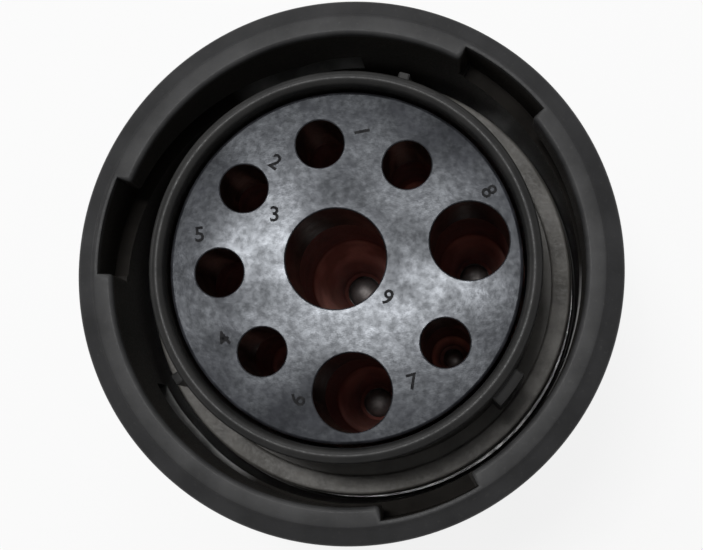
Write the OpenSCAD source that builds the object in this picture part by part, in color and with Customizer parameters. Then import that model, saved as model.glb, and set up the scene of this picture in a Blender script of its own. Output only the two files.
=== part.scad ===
// Round trailer wiring plug with a bayonet coupling ring, standing on its rear nut.
// The mating side looks up (+Z), the origin is the centre of the rear plane, sizes in millimetres.
// Heights build up from the rear nut through the contact block, radii from the barrel's bore.

/* [Contact block] */
// Thickness of the hard front insert
insert_t = 9; // [7:0.5:12]
// Thickness of the red silicone seal behind the front insert
seal_t = 18; // [16:0.5:23]
// Thickness of the plate that holds the contacts
plate_t = 5.5; // [5:0.1:7]
// Thickness of the rear wire grommet
grommet_t = 8.6; // [8:0.1:11]
// Thickness of the ring that presses on the grommet
follower_t = 1.5; // [1:0.1:3]
// Depth of the insert's face below the barrel's rim
face_recess = 1.5; // [0.8:0.1:3]
// Depth from the insert's face to the start of the cavity funnels
funnel_depth = 18; // [14:0.5:18.5]
// Play between the front insert and the barrel's bore, on the radius
insert_gap = 0.3; // [0.1:0.05:0.5]

/* [Contact cavities] */
// Bore of the large middle cavity
large_cavity_d = 8.9; // [7.4:0.1:10.7]
// Bore of the two medium cavities
medium_cavity_d = 6.9; // [5.8:0.1:8]
// Bore of the six small cavities
small_cavity_d = 4.3; // [3.6:0.1:5]
// Pitch radius of the outer cavities
pitch_r = 11.1; // [10.4:0.1:11.3]
// Angle between neighbouring outer cavities near the main key
cavity_step = 48.5; // [46:0.5:49]
// Offset of the middle cavity away from the main key
middle_offset = 1; // [0:0.1:1.2]

/* [Contacts] */
// Depth of the large and medium contact tips below the insert's face
power_tip_depth = 25.8; // [24:0.1:26.2]
// Depth of the small contact tips below the insert's face
signal_tip_depth = 21.1; // [20:0.1:25]
// Diameter of the large contact's pin
large_pin_d = 3.4; // [3:0.1:3.8]
// Diameter of the medium contacts' pins
medium_pin_d = 3; // [2.6:0.1:3.2]
// Diameter of the small contacts' pins
small_pin_d = 2; // [1.6:0.1:2.2]

/* [Shell] */
// Bore of the barrel around the contact block
barrel_bore_d = 31.7; // [31.6:0.1:40]
// Wall of the barrel
barrel_wall = 1.35; // [1.1:0.05:1.8]
// Depth from the barrel's rim down to the gasket
barrel_depth = 13.9; // [13:0.1:17]
// Thickness of the flange behind the gasket
flange_t = 2.5; // [2:0.1:3.5]
// Step that keeps the wider rear of the block from coming out in front, on the radius
block_step = 0.75; // [0.5:0.05:1]
// Wall of the rear tube where the coupling ring turns on it
journal_wall = 1.8; // [1.5:0.1:2.5]
// Thickness of the flat gasket on the flange
gasket_t = 1; // [0.6:0.1:1.5]
// Distance from the barrel's rim down to the tops of its keys
key_drop = 2.4; // [1.8:0.1:4]
// Height of the keys above the barrel, on the radius
key_height = 1; // [0.6:0.1:1.4]

/* [Coupling ring] */
// Space between barrel and ring for the mating shell, on the radius
mating_gap = 3.7; // [3:0.1:5]
// Depth of the bayonet grooves in the ring's wall
groove_depth = 1.3; // [0.8:0.1:1.8]
// Wall of the ring outside the grooves
ring_wall = 2.05; // [1.8:0.05:4]
// Distance of the ring's front face behind the barrel's rim
ring_setback = 1.85; // [1:0.05:3]
// Width of the grooves along the plug
groove_w = 3.8; // [3:0.1:4.2]
// Width of each entry slot, in degrees
slot_sweep = 23; // [18:1:28]
// Turn of the ring from open to locked, in degrees
lock_turn = 80; // [60:1:90]
// How far the grooves pull the mating half in
groove_lead = 5.4; // [4:0.1:5.6]
// Number of grip flutes round the ring
flute_count = 24; // [12:1:30]
// Depth of the grip flutes
flute_depth = 0.8; // [0.4:0.1:1]
// Forward float of the ring against its wave spring
ring_float = 0.8; // [0.4:0.1:1]

/* [Rear end] */
// Height of the rear nut
nut_h = 14; // [12:0.5:15]
// Thickness of the nut's inner lip
nut_lip_t = 3.9; // [3:0.1:5]
// Wall of the nut outside its thread
nut_wall = 2.6; // [2:0.1:4]
// Radius of the cable opening in the nut
cable_r = 13.2; // [13.2:0.1:14]
// Number of grip flutes round the nut
nut_flutes = 18; // [10:1:24]

/* [Hidden] */
$fn = 96;

// Clearances and small fits
running_fit = 0.06;      // shoulder of the ring on the shell's journal, on the radius
slip_fit = 0.05;         // pieces that slide into or screw onto each other, on the radius
flange_gap = 0.55;       // flange inside the ring's bore, on the radius
touch = 0.02;            // spring and o-ring against the faces that they lie on
overcut = 1;             // how far a cut runs past the surface that it opens
edge = 0.4;              // general edge break
fine_edge = 0.2;         // edge break on thin parts

// Parts of the ring's stack behind the flange
spring_closed_h = 1.4;   // wave spring with the ring pulled fully forward
spring_h = spring_closed_h + ring_float;
spring_wire_t = 0.45;
spring_waves = 4;
washer_t = 0.7;
washer_gap = 0.3;
shoulder_t = 2.8;
clip_t = 1.1;
clip_w = 1.75;
clip_groove_depth = 0.9;
clip_opening = 34;
ring_skirt = 1.3;

// Thread and o-ring on the shell's tail
thread_pitch = 1.5;
thread_depth = 0.6;
thread_drop = 0.2;
thread_runout = 3.5;
tail_gap = 1.1;
o_ring_d = 1.6;
o_ring_bite = 1.05;

// Contact block details
key_angle = -38;         // direction of the main key, from +X
plate_lip = 0.6;         // lip of the retention plate over the contact collars
collar_h = 1.6;
clip_sheet = 0.3;        // sheet thickness of the retention clips
clip_seat = 0.1;
crimp_length = 6.6;
wire_depth = 5;
wire_lip = 1.9;          // length of the narrow sealing throat in the grommet
mouth_lead = 0.9;        // pin tips stand this far below the mouth of their narrow bore
throat_gap = 0.35;       // narrow bore round the pin, on the radius
collar_step = 0.35;
crimp_steps = [1, 0.75, 0.45];

// Heights
z_follower = nut_lip_t;
z_grommet = z_follower + follower_t;
z_plate = z_grommet + grommet_t;
z_seal = z_plate + plate_t;
z_insert = z_seal + seal_t;
z_face = z_insert + insert_t;
z_funnel = z_face - funnel_depth;
z_rim = z_face + face_recess;
z_floor = z_rim - barrel_depth;
z_flange_top = z_floor - gasket_t;
z_flange = z_flange_top - flange_t;
z_step = z_flange + flange_t / 2;
z_spring = z_flange - spring_h;
z_washer = z_spring - washer_t;
z_shoulder = z_washer - shoulder_t;
z_clip = z_shoulder - clip_t;
z_ring_rear = z_clip - ring_skirt;
z_ring_front = z_rim - ring_setback;
z_tail = nut_lip_t + tail_gap;
z_thread_top = nut_h + thread_runout;

// Radii
barrel_in_r = barrel_bore_d / 2;
barrel_r = barrel_in_r + barrel_wall;
tail_bore_r = barrel_in_r + block_step;
journal_r = tail_bore_r + journal_wall;
thread_r = journal_r - thread_drop;
ring_bore_r = barrel_r + mating_gap;
flange_r = ring_bore_r - flange_gap;
groove_r = ring_bore_r + groove_depth;
ring_r = groove_r + ring_wall;
insert_r = barrel_in_r - insert_gap;
block_r = tail_bore_r - slip_fit;
clip_groove_r = journal_r - clip_groove_depth;
clip_in_r = clip_groove_r + slip_fit;
clip_out_r = clip_in_r + clip_w;
nut_bore_r = thread_r + slip_fit;
nut_r = nut_bore_r + nut_wall;

// Sizes of one kind of contact: cavity radius, pin radius, tip height, crimp barrel radius
large = [large_cavity_d / 2, large_pin_d / 2, z_face - power_tip_depth, large_pin_d / 2 + crimp_steps[0]];
medium = [medium_cavity_d / 2, medium_pin_d / 2, z_face - power_tip_depth, medium_pin_d / 2 + crimp_steps[1]];
small = [small_cavity_d / 2, small_pin_d / 2, z_face - signal_tip_depth, small_pin_d / 2 + crimp_steps[2]];

// Places: kind, angle from the main key, distance from the axis.
// The outer ring is even about the key; the two cavities beside the middle one sit a little inwards,
// the one opposite the key a little outwards, and the far ones are turned a little towards the key.
side_inset = 0.7;
far_outset = 0.3;
side_skew = 1;
far_skew = 6;
places = [
    [large, 180, middle_offset],
    [medium, cavity_step, pitch_r],
    [medium, -cavity_step, pitch_r],
    [small, 0, pitch_r],
    [small, 2 * cavity_step - side_skew, pitch_r - side_inset],
    [small, 3 * cavity_step - far_skew, pitch_r],
    [small, 180, pitch_r + far_outset],
    [small, -3 * cavity_step + far_skew, pitch_r],
    [small, -2 * cavity_step + side_skew, pitch_r - side_inset]
];
function cavity_r(k) = k[0];
function pin_r(k) = k[1];
function tip_z(k) = k[2];
function crimp_r(k) = k[3];
function collar_r(k) = crimp_r(k) + collar_step;
function clip_r(k) = collar_r(k) + clip_seat;
function socket_r(k) = clip_r(k) + slip_fit;
function throat_r(k) = pin_r(k) + throat_gap;

// Points of an arc, for outlines
function arc(x, y, r, from, to, steps = 6) =
    [for (i = [0:steps]) let (a = from + (to - from) * i / steps) [x + r * cos(a), y + r * sin(a)]];

// A plain tube between two heights
module tube(r_out, r_in, z0, z1) {
    difference() {
        translate([0, 0, z0]) cylinder(r = r_out, h = z1 - z0);
        translate([0, 0, z0 - overcut]) cylinder(r = r_in, h = z1 - z0 + 2 * overcut);
    }
}

// A disc from one height to another
module drum(r, z0, z1) {
    translate([0, 0, z0]) cylinder(r = r, h = z1 - z0);
}

// Puts its children at the place of contact i
module at_place(i) {
    rotate(key_angle + places[i][1]) translate([places[i][2], 0, 0]) children();
}

// A closed solid through four-cornered sections, given as lists of points in order
module through_sections(sections) {
    n = len(sections);
    polyhedron(
        points = [for (s = sections) for (p = s) p],
        faces = concat(
            [[0, 1, 2], [0, 2, 3]],
            [for (i = [0:n - 2]) for (j = [0:3]) each [
                [4 * i + j, 4 * (i + 1) + j, 4 * i + (j + 1) % 4],
                [4 * (i + 1) + j, 4 * (i + 1) + (j + 1) % 4, 4 * i + (j + 1) % 4]
            ]],
            [[4 * n - 4, 4 * n - 2, 4 * n - 3], [4 * n - 4, 4 * n - 1, 4 * n - 2]]
        )
    );
}

// Shell: barrel with keys, flange, journal, clip groove and threaded tail in one metal piece
module shell_outline() {
    rim_r = barrel_wall / 2;
    polygon(concat(
        [[barrel_r, z_flange_top], [flange_r - fine_edge, z_flange_top], [flange_r, z_flange_top - fine_edge]],
        [[flange_r, z_flange + fine_edge], [flange_r - fine_edge, z_flange], [journal_r, z_flange]],
        [[journal_r, z_shoulder], [clip_groove_r, z_shoulder], [clip_groove_r, z_clip], [journal_r, z_clip]],
        [[journal_r, z_thread_top + o_ring_d + fine_edge], [thread_r, z_thread_top + o_ring_d]],
        [[thread_r - o_ring_bite + fine_edge, z_thread_top + o_ring_d]],
        [[thread_r - o_ring_bite + fine_edge, z_thread_top], [thread_r, z_thread_top]],
        [[thread_r, z_tail + edge], [thread_r - edge, z_tail], [tail_bore_r, z_tail]],
        [[tail_bore_r, z_step], [barrel_in_r, z_step]],
        arc(barrel_in_r + rim_r, z_rim - rim_r, rim_r, 180, 0, 10)
    ));
}

module thread_notches() {
    notches = floor((z_thread_top - z_tail - thread_pitch) / thread_pitch);
    crest = 0.25;
    half_w = (thread_pitch - crest) / 2 * (thread_depth + overcut) / thread_depth;
    for (i = [1:notches])
        rotate_extrude() translate([thread_r, z_tail + i * thread_pitch])
            polygon([[-thread_depth, 0], [overcut, -half_w], [overcut, half_w]]);
}

module barrel_key(angle, width) {
    rotate(angle - width / 2) rotate_extrude(angle = width)
        translate([barrel_r - barrel_wall / 2, z_flange_top - fine_edge])
            square([barrel_wall / 2 + key_height, z_rim - key_drop - z_flange_top + fine_edge]);
}

module shell() {
    main_key = 11;
    main_key_skew = 1;
    small_key = 3.5;
    small_key_angles = [73, 213];
    color("dimgray") union() {
        difference() {
            rotate_extrude() shell_outline();
            thread_notches();
        }
        barrel_key(key_angle + main_key_skew, main_key);
        for (angle = small_key_angles) barrel_key(angle, small_key);
    }
}

// Coupling ring: grip outside, three bayonet grooves inside, and a shoulder behind the flange
module ring_outline() {
    slope = 0.7;
    round_r = 0.6;
    lip_r = 0.45;
    polygon(concat(
        [[ring_bore_r, z_washer], [journal_r + running_fit, z_washer], [journal_r + running_fit, z_shoulder]],
        [[clip_out_r + edge, z_shoulder], [clip_out_r + edge, z_ring_rear]],
        [[ring_r - 2 * edge, z_ring_rear], [ring_r, z_ring_rear + 2 * edge]],
        arc(ring_r - round_r, z_ring_front - slope - round_r + fine_edge, round_r, 0, 70),
        [[groove_r + fine_edge, z_ring_front]],
        arc(ring_bore_r + lip_r, z_ring_front - lip_r, lip_r, 90, 180)
    ));
}

// Height of the rear flank of a groove at a turn from the middle of its slot
entry_drop = 6.4;
detent_turn = 14;        // the groove stops falling this far before the locked position
detent_sweep = 8;
detent_rise = 0.6;
ramp_turn = lock_turn - detent_turn;
function flank_z(turn) =
    z_ring_front - entry_drop - groove_lead * min(turn, ramp_turn) / ramp_turn
    + detent_rise * max(0, min(1, (turn - ramp_turn) / detent_sweep));

module bayonet_groove() {
    step = 4;
    side_wall = 1.5;
    first = side_wall - slot_sweep / 2;
    last = lock_turn + slot_sweep / 4;
    turns = [for (t = [first:step:last]) t];
    in_r = ring_bore_r - overcut;
    out_r = groove_r + overcut;
    slot_bottom = flank_z(-slot_sweep / 2) + edge;
    intersection() {
        drum(groove_r, z_washer, z_ring_front + overcut);
        union() {
            through_sections([for (t = turns) [
                [in_r * cos(t), -in_r * sin(t), flank_z(t)],
                [out_r * cos(t), -out_r * sin(t), flank_z(t)],
                [out_r * cos(t), -out_r * sin(t), flank_z(t) + groove_w],
                [in_r * cos(t), -in_r * sin(t), flank_z(t) + groove_w]
            ]]);
            rotate(-slot_sweep / 2) rotate_extrude(angle = slot_sweep) translate([in_r, slot_bottom])
                square([out_r - in_r, z_ring_front + overcut - slot_bottom]);
        }
    }
}

module grip_flute(r, count, depth, z0, z1) {
    fill = 0.8;
    scoop_r = r * sin(180 / count) * fill;
    scoop_x = r - depth + scoop_r;
    for (i = [0:count - 1]) rotate(360 * (i + 0.5) / count) {
        translate([scoop_x, 0, z0 + scoop_r]) cylinder(r = scoop_r, h = z1 - z0 - 2 * scoop_r);
        translate([scoop_x, 0, z0 + scoop_r]) sphere(r = scoop_r);
        translate([scoop_x, 0, z1 - scoop_r]) sphere(r = scoop_r);
    }
}

module coupling_ring() {
    first_slot = 49.5;
    grip_front = 4.5;
    grip_rear = 2.2;
    mark_angle = 103.5;
    mark_r = 0.4;
    mark_depth = 0.25;
    color("darkslategray") difference() {
        rotate_extrude() ring_outline();
        for (i = [0:2]) rotate(first_slot + 120 * i) bayonet_groove();
        grip_flute(ring_r, flute_count, flute_depth, z_ring_rear + grip_rear, z_ring_front - grip_front);
        rotate(mark_angle) translate([groove_r + ring_wall / 2, 0, z_ring_front - edge - mark_depth])
            cylinder(r = mark_r, h = overcut);
    }
}

// Flat washer between the wave spring and the ring's shoulder
module thrust_washer() {
    color("silver") tube(ring_bore_r - washer_gap, journal_r + fine_edge, z_washer, z_spring);
}

// Wave spring that pushes the ring back against its clip
module wave_spring() {
    in_r = journal_r + edge;
    out_r = ring_bore_r - washer_gap - fine_edge;
    half_h = spring_h / 2 - touch;
    swing = half_h - spring_wire_t / 2;
    steps = 96;
    mid_z = z_spring + spring_h / 2;
    points = [for (i = [0:steps - 1])
        let (a = 360 * i / steps, z = mid_z + swing * cos(spring_waves * a))
        each [
            [in_r * cos(a), in_r * sin(a), z - spring_wire_t / 2],
            [out_r * cos(a), out_r * sin(a), z - spring_wire_t / 2],
            [out_r * cos(a), out_r * sin(a), z + spring_wire_t / 2],
            [in_r * cos(a), in_r * sin(a), z + spring_wire_t / 2]
        ]];
    count = 4 * steps;
    color("lightsteelblue") polyhedron(
        points = points,
        faces = [for (i = [0:steps - 1]) for (j = [0:3]) each [
            [4 * i + j, 4 * i + (j + 1) % 4, (4 * i + 4 + j) % count],
            [(4 * i + 4 + j) % count, 4 * i + (j + 1) % 4, (4 * i + 4 + (j + 1) % 4) % count]
        ]]
    );
}

// Open snap ring that holds the coupling ring on the shell
module retaining_clip() {
    ear_r = 0.9;
    ear_hole_r = 0.45;
    ear_x = clip_out_r - ear_r;
    color("gray") difference() {
        union() {
            rotate(clip_opening / 2) rotate_extrude(angle = 360 - clip_opening)
                translate([clip_in_r, z_clip]) square([clip_w, clip_t]);
            for (side = [-1, 1]) rotate(side * clip_opening / 2) translate([ear_x, 0, z_clip])
                cylinder(r = ear_r, h = clip_t);
        }
        for (side = [-1, 1]) rotate(side * clip_opening / 2) translate([ear_x, 0, z_clip - overcut])
            cylinder(r = ear_hole_r, h = clip_t + 2 * overcut);
    }
}

// Flat gasket that the mating shell presses on
module flange_gasket() {
    color("gray") tube(flange_r - fine_edge, barrel_r + key_height + fine_edge, z_flange_top, z_floor);
}

// Hard front insert with the nine cavity mouths
module front_insert() {
    color("lightgray") difference() {
        union() {
            drum(insert_r, z_insert, z_face - fine_edge);
            translate([0, 0, z_face - fine_edge])
                cylinder(r1 = insert_r, r2 = insert_r - fine_edge, h = fine_edge);
        }
        for (i = [0:len(places) - 1]) at_place(i)
            drum(cavity_r(places[i][0]), z_insert - overcut, z_face + overcut);
    }
}

// Upper layer of the red silicone seal: the cavities run straight through it
module cavity_seal() {
    color("firebrick") difference() {
        union() {
            drum(block_r, z_funnel, z_step - slip_fit);
            drum(barrel_in_r - slip_fit, z_funnel, z_insert);
        }
        for (i = [0:len(places) - 1]) at_place(i)
            drum(cavity_r(places[i][0]), z_funnel - overcut, z_insert + overcut);
    }
}

// Lower layer of the seal: each cavity narrows in a funnel to the throat that its pin stands in
module throat_seal() {
    color("firebrick") difference() {
        drum(block_r, z_seal, z_funnel);
        for (i = [0:len(places) - 1]) at_place(i) {
            kind = places[i][0];
            z_mouth = tip_z(kind) + mouth_lead;
            translate([0, 0, z_mouth]) cylinder(r1 = throat_r(kind), r2 = cavity_r(kind), h = z_funnel - z_mouth);
            drum(throat_r(kind), z_seal - overcut, z_mouth + touch);
        }
    }
}

// Hard plate with a stepped socket for each contact and its clip
module retention_plate() {
    color("darkgray") difference() {
        drum(block_r, z_plate, z_seal);
        for (i = [0:len(places) - 1]) at_place(i) {
            drum(socket_r(places[i][0]), z_plate - overcut, z_seal - plate_lip);
            drum(throat_r(places[i][0]), z_plate, z_seal + overcut);
        }
    }
}

// Split spring sleeves that catch behind the contact collars
module retention_clip(kind) {
    z_collar = z_seal - plate_lip - collar_h;
    z_bend = z_collar - collar_h / 2;
    shank_r = crimp_r(kind) - collar_step + slip_fit;
    slit = 0.5;
    difference() {
        rotate_extrude() polygon([
            [clip_r(kind), z_plate + slip_fit], [clip_r(kind), z_bend], [shank_r + clip_sheet, z_collar - slip_fit],
            [shank_r, z_collar - slip_fit], [clip_r(kind) - clip_sheet, z_bend - slip_fit],
            [clip_r(kind) - clip_sheet, z_plate + slip_fit]
        ]);
        translate([0, -slit / 2, z_plate - overcut]) cube([clip_r(kind) + overcut, slit, plate_t + 2 * overcut]);
    }
}

module retention_clips() {
    color("khaki") for (i = [0:len(places) - 1]) at_place(i) retention_clip(places[i][0]);
}

// Red silicone grommet that seals round the wires and the crimp barrels
module rear_grommet() {
    rib_pitch = 2.4;
    rib_groove = 0.35;
    groove_half = 0.6;
    ribs = floor((grommet_t - rib_pitch / 2) / rib_pitch);
    color("firebrick") difference() {
        drum(block_r, z_grommet, z_plate);
        for (i = [0:ribs - 1])
            tube(block_r + overcut, block_r - rib_groove,
                z_grommet + rib_pitch * (i + 1) - groove_half, z_grommet + rib_pitch * (i + 1) + groove_half);
        for (i = [0:len(places) - 1]) at_place(i) {
            kind = places[i][0];
            drum(crimp_r(kind) + slip_fit, z_grommet + wire_lip, z_plate + overcut);
            drum(crimp_r(kind) - collar_step, z_grommet - overcut, z_grommet + wire_lip + overcut);
        }
    }
}

// Ring that spreads the nut's pressure over the grommet
module grommet_follower() {
    color("silver") tube(block_r, cable_r + fine_edge, z_follower, z_grommet);
}

// Rear nut with grip flutes, an inner lip and the cable opening
module end_nut() {
    chamfer = 0.8;
    flute = 0.6;
    color("dimgray") difference() {
        rotate_extrude() polygon([
            [cable_r, edge], [cable_r + edge, 0], [nut_r - chamfer, 0], [nut_r, chamfer],
            [nut_r, nut_h - chamfer], [nut_r - chamfer, nut_h], [nut_bore_r + edge, nut_h],
            [nut_bore_r, nut_h - edge], [nut_bore_r, nut_lip_t], [cable_r, nut_lip_t]
        ]);
        grip_flute(nut_r, nut_flutes, flute, chamfer + edge, nut_h - chamfer - edge);
    }
}

// O-ring that seals the rear nut or a backshell against the shell
module tail_o_ring() {
    color("black") translate([0, 0, z_thread_top + o_ring_d / 2])
        rotate_extrude() translate([thread_r - o_ring_bite + fine_edge + o_ring_d / 2, 0])
            circle(r = o_ring_d / 2 - touch);
}

// Pin contact: domed tip, collar against the plate's lip, shank in the clip, crimp barrel
module contact(i) {
    kind = places[i][0];
    z_collar = z_seal - plate_lip - collar_h;
    z_crimp = z_plate + slip_fit;
    z_end = z_crimp - crimp_length;
    sight_r = pin_r(kind) / 3;
    color("gainsboro") at_place(i) difference() {
        union() {
            drum(pin_r(kind), z_collar, tip_z(kind) - pin_r(kind));
            translate([0, 0, tip_z(kind) - pin_r(kind)]) sphere(r = pin_r(kind));
            drum(collar_r(kind), z_collar, z_seal - plate_lip - touch);
            drum(crimp_r(kind) - collar_step, z_crimp - overcut, z_collar + touch);
            drum(crimp_r(kind), z_end, z_crimp);
        }
        drum(crimp_r(kind) - 2 * collar_step, z_end - overcut, z_end + wire_depth);
        translate([0, 0, z_end + wire_depth - overcut]) rotate([90, 0, 0])
            cylinder(r = sight_r, h = crimp_r(kind) + overcut);
    }
}

shell();
coupling_ring();
thrust_washer();
wave_spring();
retaining_clip();
flange_gasket();
front_insert();
cavity_seal();
throat_seal();
retention_plate();
retention_clips();
rear_grommet();
grommet_follower();
end_nut();
tail_o_ring();
contact(0);  // contact_main
contact(1);  // contact_power_1
contact(2);  // contact_power_2
contact(3);  // contact_signal_1
contact(4);  // contact_signal_2
contact(5);  // contact_signal_3
contact(6);  // contact_signal_4
contact(7);  // contact_signal_5
contact(8);  // contact_signal_6
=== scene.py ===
# %% [markdown]
# # A round trailer wiring plug
# This notebook gives a bayonet-coupled trailer plug its looks. The plug stands on its rear nut with the
# mating side up. A CAD model fixes every size, and it is loaded first as a frame: each new piece goes
# exactly where the CAD piece is, and then stands in for it. All places are in metres, with Z along the plug.

# %% Load the frame
import math

import bpy
from mathutils import Matrix, Vector


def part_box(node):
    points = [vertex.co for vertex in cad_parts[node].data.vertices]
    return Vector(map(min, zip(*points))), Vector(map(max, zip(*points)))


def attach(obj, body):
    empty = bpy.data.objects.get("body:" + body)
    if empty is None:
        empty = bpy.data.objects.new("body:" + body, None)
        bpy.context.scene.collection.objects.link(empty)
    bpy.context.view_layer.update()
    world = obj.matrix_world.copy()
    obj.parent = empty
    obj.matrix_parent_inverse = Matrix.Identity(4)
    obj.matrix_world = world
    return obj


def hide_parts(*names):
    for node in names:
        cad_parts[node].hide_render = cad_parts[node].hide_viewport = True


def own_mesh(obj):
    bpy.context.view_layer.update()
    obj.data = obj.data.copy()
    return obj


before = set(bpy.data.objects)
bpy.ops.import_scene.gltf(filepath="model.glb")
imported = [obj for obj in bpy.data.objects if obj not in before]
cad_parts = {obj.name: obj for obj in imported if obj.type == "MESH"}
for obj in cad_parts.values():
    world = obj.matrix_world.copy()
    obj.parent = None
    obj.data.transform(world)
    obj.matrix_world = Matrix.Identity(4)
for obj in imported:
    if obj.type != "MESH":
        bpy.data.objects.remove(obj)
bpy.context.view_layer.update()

print("nodes:", sorted(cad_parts))

# %% [markdown]
# ## Measures
# Drawings of turned parts are in millimetres, so this notebook is too, and MM turns them into metres. Heights
# and outside radii are read from the CAD nodes rather than typed again, so that a changed frame carries over.

# %% Measures
MM = 0.001


def bottom(node):
    """Lowest height of a CAD node, in millimetres."""
    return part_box(node)[0].z / MM


def top(node):
    """Highest point of a CAD node, in millimetres."""
    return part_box(node)[1].z / MM


def outside(node):
    """Outside radius of a round CAD node that is centred on the plug's axis, in millimetres."""
    low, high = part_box(node)
    return (high.x - low.x) / 2 / MM


def centre(node):
    """Where a CAD node stands, seen from above, in millimetres."""
    low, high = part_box(node)
    return ((low.x + high.x) / 2 / MM, (low.y + high.y) / 2 / MM)


RIM_Z = top("shell")
FACE_Z = top("front_insert")
RING_FRONT_Z = top("coupling_ring")
RING_REAR_Z = bottom("coupling_ring")
RING_R = outside("coupling_ring")
print(f"rim at {RIM_Z:.2f} mm, insert face at {FACE_Z:.2f} mm, ring radius {RING_R:.2f} mm")

# %% [markdown]
# ## The camera
# The camera looks down into the plug from a hand's width away. Its turn is found from the plug's axis as the
# camera sees it: the axis runs a little to the left and up in the view, so far-away circles drift to the
# lower right. Building a small matrix from that one direction is steadier than aiming at a target,
# because a target leaves the roll of a camera that looks straight down undecided.

# %% Camera
camera_place = Vector((13.13, -15.73, 164.8)) * MM
axis_in_view = Vector((-146.5, 172.0, 1375.0)).normalized()
right_in_view = Vector((1, 0, 0))
right_in_view = (right_in_view - right_in_view.dot(axis_in_view) * axis_in_view).normalized()
back_in_view = axis_in_view.cross(right_in_view)
camera_turn = Matrix((right_in_view, back_in_view, axis_in_view)).to_euler()

bpy.ops.object.camera_add(location=camera_place, rotation=camera_turn)
camera = bpy.context.object
camera.name = "camera"
camera.data.lens = 1375 / 703 * 36
camera.data.sensor_width = 36
camera.data.clip_start = 0.005
bpy.context.scene.camera = camera
print(f"lens {camera.data.lens:.1f} mm, tilt {math.degrees(math.acos(axis_in_view.z)):.1f} degrees")

# %% [markdown]
# ## Helpers for turned work
# Nearly every part of the plug comes off a lathe. In Blender that can be a spin of a profile, a Screw
# modifier, or a circle that is extruded and resized ring by ring. The last is used here: it is easy to follow
# by hand, each profile point is one extrude and one resize, and the number of sides stays under control.

# %% Turning helpers


def nothing_selected():
    """Back to object mode with an empty selection."""
    if bpy.context.object and bpy.context.object.mode != "OBJECT":
        bpy.ops.object.mode_set(mode="OBJECT")
    bpy.ops.object.select_all(action="DESELECT")


def take(piece):
    """Makes a piece the only selected and the active one."""
    nothing_selected()
    piece.select_set(True)
    bpy.context.view_layer.objects.active = piece


def arc(radius, height, size, start, end, steps=6):
    """Profile points round a corner: the arc's centre, its size, and the angles that it runs between."""
    angles = [math.radians(start + (end - start) * i / steps) for i in range(steps + 1)]
    return [(radius + size * math.cos(a), height + size * math.sin(a)) for a in angles]


def turned(name, profile, sides=192, at=(0, 0), solid=False):
    """Turns (radius, height) points round an upright axis. A solid is closed at its ends, a ring on itself."""
    x, y = at[0] * MM, at[1] * MM
    radius, height = profile[0]
    nothing_selected()
    bpy.ops.mesh.primitive_circle_add(vertices=sides, radius=radius * MM, location=(x, y, height * MM))
    piece = bpy.context.object
    piece.name = name
    bpy.ops.object.mode_set(mode="EDIT")
    bpy.ops.mesh.select_mode(type="VERT")
    bpy.ops.mesh.select_all(action="SELECT")
    for next_radius, next_height in profile[1:]:
        rise = (0, 0, (next_height - height) * MM)
        bpy.ops.mesh.extrude_region_move(TRANSFORM_OT_translate={"value": rise})
        grow = next_radius / radius
        bpy.ops.transform.resize(value=(grow, grow, 1), center_override=(x, y, next_height * MM))
        radius, height = next_radius, next_height
    bpy.ops.mesh.select_all(action="DESELECT")
    bpy.ops.mesh.select_non_manifold()
    if solid:
        bpy.ops.mesh.fill_holes(sides=0)
    else:
        bpy.ops.mesh.bridge_edge_loops()
    bpy.ops.mesh.select_all(action="SELECT")
    bpy.ops.mesh.normals_make_consistent(inside=False)
    bpy.ops.object.mode_set(mode="OBJECT")
    bpy.ops.object.transform_apply(location=True, rotation=True, scale=True)
    return piece


# %% [markdown]
# ## Helpers for cutting and softening
# Holes, slots and grip flutes are cut with Boolean modifiers, as a mill would cut them after turning. Cut
# edges come out razor sharp, so the sharp edges of chosen places are found and bevelled: on real metal a thin
# rounded edge catches the light, and that line of light is what makes a part look machined.

# %% Cutting helpers


def joined(pieces):
    """Joins pieces into the first one."""
    take(pieces[0])
    for piece in pieces[1:]:
        piece.select_set(True)
    if len(pieces) > 1:
        bpy.ops.object.join()
    return pieces[0]


def combine(piece, others, operation="DIFFERENCE"):
    """Cuts other pieces away from a piece, or unites them with it, and uses them up."""
    tool = joined(others)
    take(piece)
    bpy.ops.object.modifier_add(type="BOOLEAN")
    boolean = piece.modifiers[-1]
    boolean.operation = operation
    boolean.solver = "EXACT"
    boolean.object = tool
    bpy.ops.object.modifier_apply(modifier=boolean.name)
    bpy.data.objects.remove(tool)
    bpy.ops.object.mode_set(mode="EDIT")
    bpy.ops.mesh.select_all(action="SELECT")
    bpy.ops.mesh.remove_doubles(threshold=0.003 * MM)
    bpy.ops.mesh.dissolve_degenerate(threshold=0.001 * MM)
    bpy.ops.object.mode_set(mode="OBJECT")
    return piece


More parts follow.
